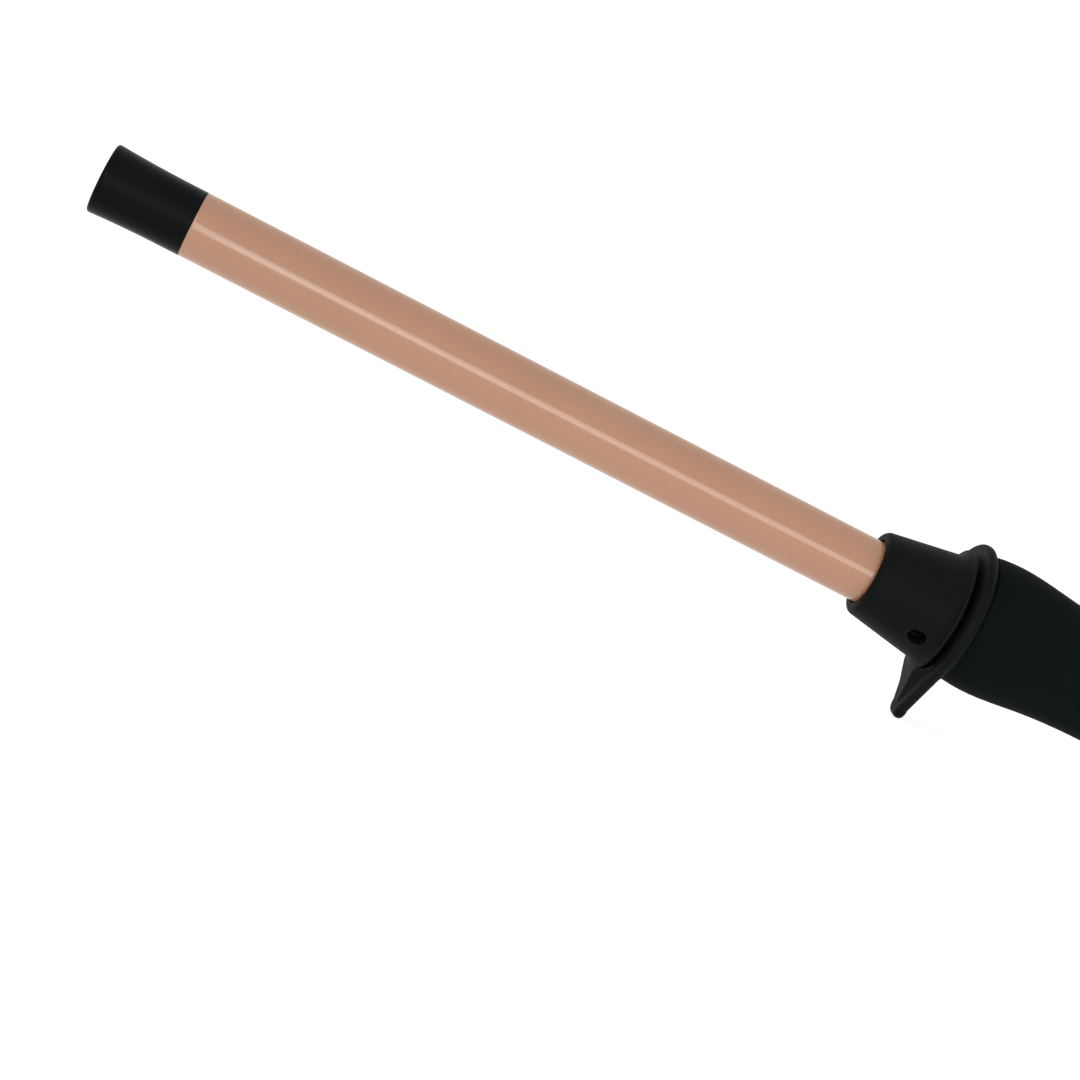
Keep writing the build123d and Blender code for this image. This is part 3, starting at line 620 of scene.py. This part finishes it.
def surfacePiece(name, grids, material, body):
    # each grid is (points in wand millimetres, rows close on themselves, columns close on themselves)
    corners, quads, count = [], [], 0
    for points, closeRows, closeColumns in grids:
        rows, columns = points.shape[:2]
        index = np.arange(rows * columns).reshape(rows, columns) + count
        if closeRows:
            index = np.concatenate((index, index[:1]))
        if closeColumns:
            index = np.concatenate((index, index[:, :1]), axis=1)
        quads.append(np.stack((index[:-1, :-1], index[:-1, 1:], index[1:, 1:], index[1:, :-1]), axis=-1))
        corners.append(placed(points.reshape(-1, 3)))
        count += rows * columns
    mesh = bpy.data.meshes.new(name)
    faces = np.concatenate([block.reshape(-1, 4) for block in quads])
    mesh.from_pydata(np.concatenate(corners).tolist(), [], faces.tolist())
    tidy = bmesh.new()
    tidy.from_mesh(mesh)
    bmesh.ops.remove_doubles(tidy, verts=tidy.verts, dist=weldGap * mm)     # closes seams and poles
    bmesh.ops.recalc_face_normals(tidy, faces=tidy.faces)
    tidy.to_mesh(mesh)
    tidy.free()
    mesh.shade_smooth()
    mesh.set_sharp_from_angle(angle=math.radians(sharpAngle))
    mesh.materials.append(material)
    piece = bpy.data.objects.new(name, mesh)
    bpy.context.scene.collection.objects.link(piece)
    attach(piece, body)
    return piece


def roundedProfile(corners, steps=7):
    # corners are (x, r, rounding); a rounded corner becomes an arc that touches both of its sides
    spots = np.array(corners, float)
    profile = []
    for k, (x, r, rounding) in enumerate(spots):
        here = np.array((x, r))
        if rounding == 0:
            profile.append(here[None])
            continue
        before = spots[k - 1, :2] - here
        after = spots[(k + 1) % len(spots), :2] - here
        before, after = before / np.linalg.norm(before), after / np.linalg.norm(after)
        half = math.acos(np.clip(before @ after, -1, 1)) / 2
        middle = here + (before + after) / np.linalg.norm(before + after) * rounding / math.sin(half)
        first = here + before * rounding / math.tan(half) - middle
        last = here + after * rounding / math.tan(half) - middle
        share = np.linspace(0, 1, steps)[:, None]
        turn = math.pi - 2 * half
        arc = np.sin((1 - share) * turn) * first + np.sin(share * turn) * last
        profile.append(middle + arc / math.sin(turn))
    return np.concatenate(profile)


def revolved(profile, columns, rise=0.0):
    # a point (x, r) of the profile goes round to (x, r sin a, rise + r cos a) for a full turn of a
    angle = np.linspace(0, 2 * math.pi, columns, endpoint=False)
    x, r = profile[:, :1], profile[:, 1:]
    return np.stack((x + 0 * angle, r * np.sin(angle), rise + r * np.cos(angle)), axis=-1)


tip = {
    "flareLength": 14.0,     # from the front end back to where the skirt starts to widen
    "edge": 0.6,
    "faceRim": 0.9,          # flat ring round the dished end face
    "dish": 0.35,
    "gateDia": 1.4,          # dimple where the moulding gate was trimmed
    "gateDepth": 0.15,
    "wall": 1.4,
    "spigotEdge": 0.3,
    "faceRings": 14,
    "skirtRings": 24,
    "columns": 144,
}


def makeTip():
    low, high = boxOf("cool_tip")
    length, frontR, spigotR = -low[0], (high[2] - low[2]) / 2, boreR - wand["slip"]
    # end face: r from 0 to the rim, sunk by dish (1 - (r / rim) squared) and once more round the gate
    rimR = frontR - tip["edge"] - tip["faceRim"]
    r = np.linspace(0, rimR, tip["faceRings"])
    gate = np.clip(1 - (2 * r / tip["gateDia"]) ** 2, 0, 1) * tip["gateDepth"]
    face = np.stack((-length + tip["dish"] * (1 - (r / rimR) ** 2) + gate, r), axis=-1)
    # skirt: the radius grows with the square of the way from the flare's start to the front end
    way = np.linspace(1, 0, tip["skirtRings"])[1:]
    skirtX = -length + tip["flareLength"] * (1 - way)
    skirt = np.stack((skirtX, tubeR + (frontR - tubeR) * way ** 2), axis=-1)
    front = roundedProfile([(-length, rimR, 0), (-length, frontR, tip["edge"]), (*skirt[0], 0)])[1:-1]
    hollowR, hollowEnd, edge = spigotR - tip["wall"], -length + 2 * tip["wall"], tip["spigotEdge"]
    back = roundedProfile([
        (0, tubeR, 0), (0, spigotR, 0), (high[0], spigotR, edge), (high[0], hollowR, edge),
        (hollowEnd, hollowR, 0), (hollowEnd, 0, 0),
    ])
    skirt = skirt[skirt[:, 0] > front[-1, 0]]
    profile = np.concatenate((face, front, skirt, back))
    grid = revolved(profile, tip["columns"])
    piece = surfacePiece(
        "cool_tip_shell", [(grid, False, True)], finishes["cool_tip"], "wand",
    )
    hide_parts("cool_tip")


barrel = {"edge": 0.12, "rows": 30, "columns": 160}


def makeBarrel():
    # a closed section, outer wall, rear edge, bore and front edge, turned round the axis; the walls'
    # rows keep their shading straight between the rounded ends
    edge = barrel["edge"]
    x = np.linspace(2 * edge, tubeLength - 2 * edge, barrel["rows"])
    outside = [(0, tubeR, edge), *((k, tubeR, 0) for k in x), (tubeLength, tubeR, edge)]
    inside = [(tubeLength, boreR, edge), *((k, boreR, 0) for k in x[::-1]), (0, boreR, edge)]
    profile = roundedProfile([*outside, *inside], steps=5)
    grid = revolved(profile, barrel["columns"])
    piece = surfacePiece(
        "barrel_skin", [(grid, True, True)], finishes["rose_gold_coat"], "wand",
    )
    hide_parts("barrel_tube")


def bead(path, width, height, base):
    # A low rib on a path of (x, y): across it, side = width / 2 cos t and lift = height times the square
    # root of sin t, with t from 0 to pi, and both follow a quarter circle in from either end, which
    # closes it.
    path = np.asarray(path, float)
    step = np.gradient(path, axis=0)
    step /= np.linalg.norm(step, axis=1)[:, None]
    side = np.stack((-step[:, 1], step[:, 0]), axis=-1)
    run = np.concatenate(([0], np.cumsum(np.linalg.norm(np.diff(path, axis=0), axis=1))))
    ends = np.clip(np.minimum(run, run[-1] - run) / (width / 2), 0, 1)
    swell = np.sqrt(1 - (1 - ends) ** 2)
    t = np.linspace(0, math.pi, 9)
    across = width / 2 * swell[:, None] * np.cos(t)
    lift = base + height * swell[:, None] * np.sin(t) ** 0.5
    flat = path[:, None] + side[:, None] * across[..., None]
    return np.concatenate((flat, lift[..., None]), axis=-1), False, True


def straight(start, end, spots=24):
    # closer together towards both ends, so that the ends come out round
    share = (1 - np.cos(np.linspace(0, math.pi, spots))) / 2
    return np.array(start) + (np.array(end) - start) * share[:, None]


marks = {
    "length": 3.2,
    "width": 0.54,
    "cut": 0.25,           # depth of the engraving under the key's top
    "fill": 0.17,          # height of the ink in it
    "gapHalf": 0.9,        # half the power ring's opening
    "barShare": 0.7,       # how far out in the ring its bar is centred
    "ringInset": 0.3,      # from half the length in to the ring's middle line
    "openingEase": 0.05,   # radians added to each side of the opening for the ink's round end
    "ringSpots": 64,
}


def makeKeyMarks():
    half = marks["length"] / 2
    upright = straight((0, -half), (0, half))
    dash = straight((-half, 0), (half, 0))
    ringR = half - marks["ringInset"]
    opening = math.asin(marks["gapHalf"] / ringR) + marks["openingEase"]
    share = 1 - np.cos(np.linspace(0, math.pi, marks["ringSpots"]))      # 0 to 2 round the ring
    angle = math.pi - share * (math.pi - opening) - opening
    ring = ringR * np.stack((np.cos(angle), np.sin(angle)), axis=-1)
    barMiddle = -half * marks["barShare"]
    bar = straight((barMiddle - half / 2, 0), (barMiddle + half / 2, 0))
    for key, paths in {"minus": [upright], "plus": [upright, dash], "power": [ring, bar]}.items():
        low, high = boxOf(key + "_button")
        middle = np.array(((low[0] + high[0]) / 2, 0))
        base = high[2] - marks["cut"]
        beads = [bead(path + middle, marks["width"], marks["fill"], base) for path in paths]
        surfacePiece(key + "_mark", beads, finishes["key_print"], key + "_key")


digits = {
    "count": 3,
    "pitch": 4.4,
    "halfHeight": 2.1,
    "halfWidth": 1.2,
    "stroke": 0.5,
    "gap": 0.12,           # between the ends of neighbouring segments
    "slant": 0.12,
    "lift": 0.08,
    "spots": 9,            # along each segment
}


def makeDigits():
    # seven bars a digit on the display's face, leaning towards the cord, read from the near side
    low, high = boxOf("display_module")
    middle = (low[0] + high[0]) / 2
    h, w, gap = digits["halfHeight"], digits["halfWidth"], digits["gap"]
    bars = [((-w + gap, y), (w - gap, y)) for y in (-h, 0, h)]
    bars += [((x, y + gap), (x, y + h - gap)) for x in (-w, w) for y in (-h, 0)]
    beads = []
    for k in range(digits["count"]):
        shift = middle + (k - (digits["count"] - 1) / 2) * digits["pitch"]
        for start, end in bars:
            path = straight(start, end, digits["spots"])
            path[:, 0] += shift + digits["slant"] * path[:, 1]
            beads.append(bead(path, digits["stroke"], digits["lift"], high[2]))
    surfacePiece("display_segments", beads, finishes["display_segment"], "wand")


makeTip()
makeBarrel()
makeKeyMarks()
makeDigits()
print("tip, barrel, key marks and digits made")
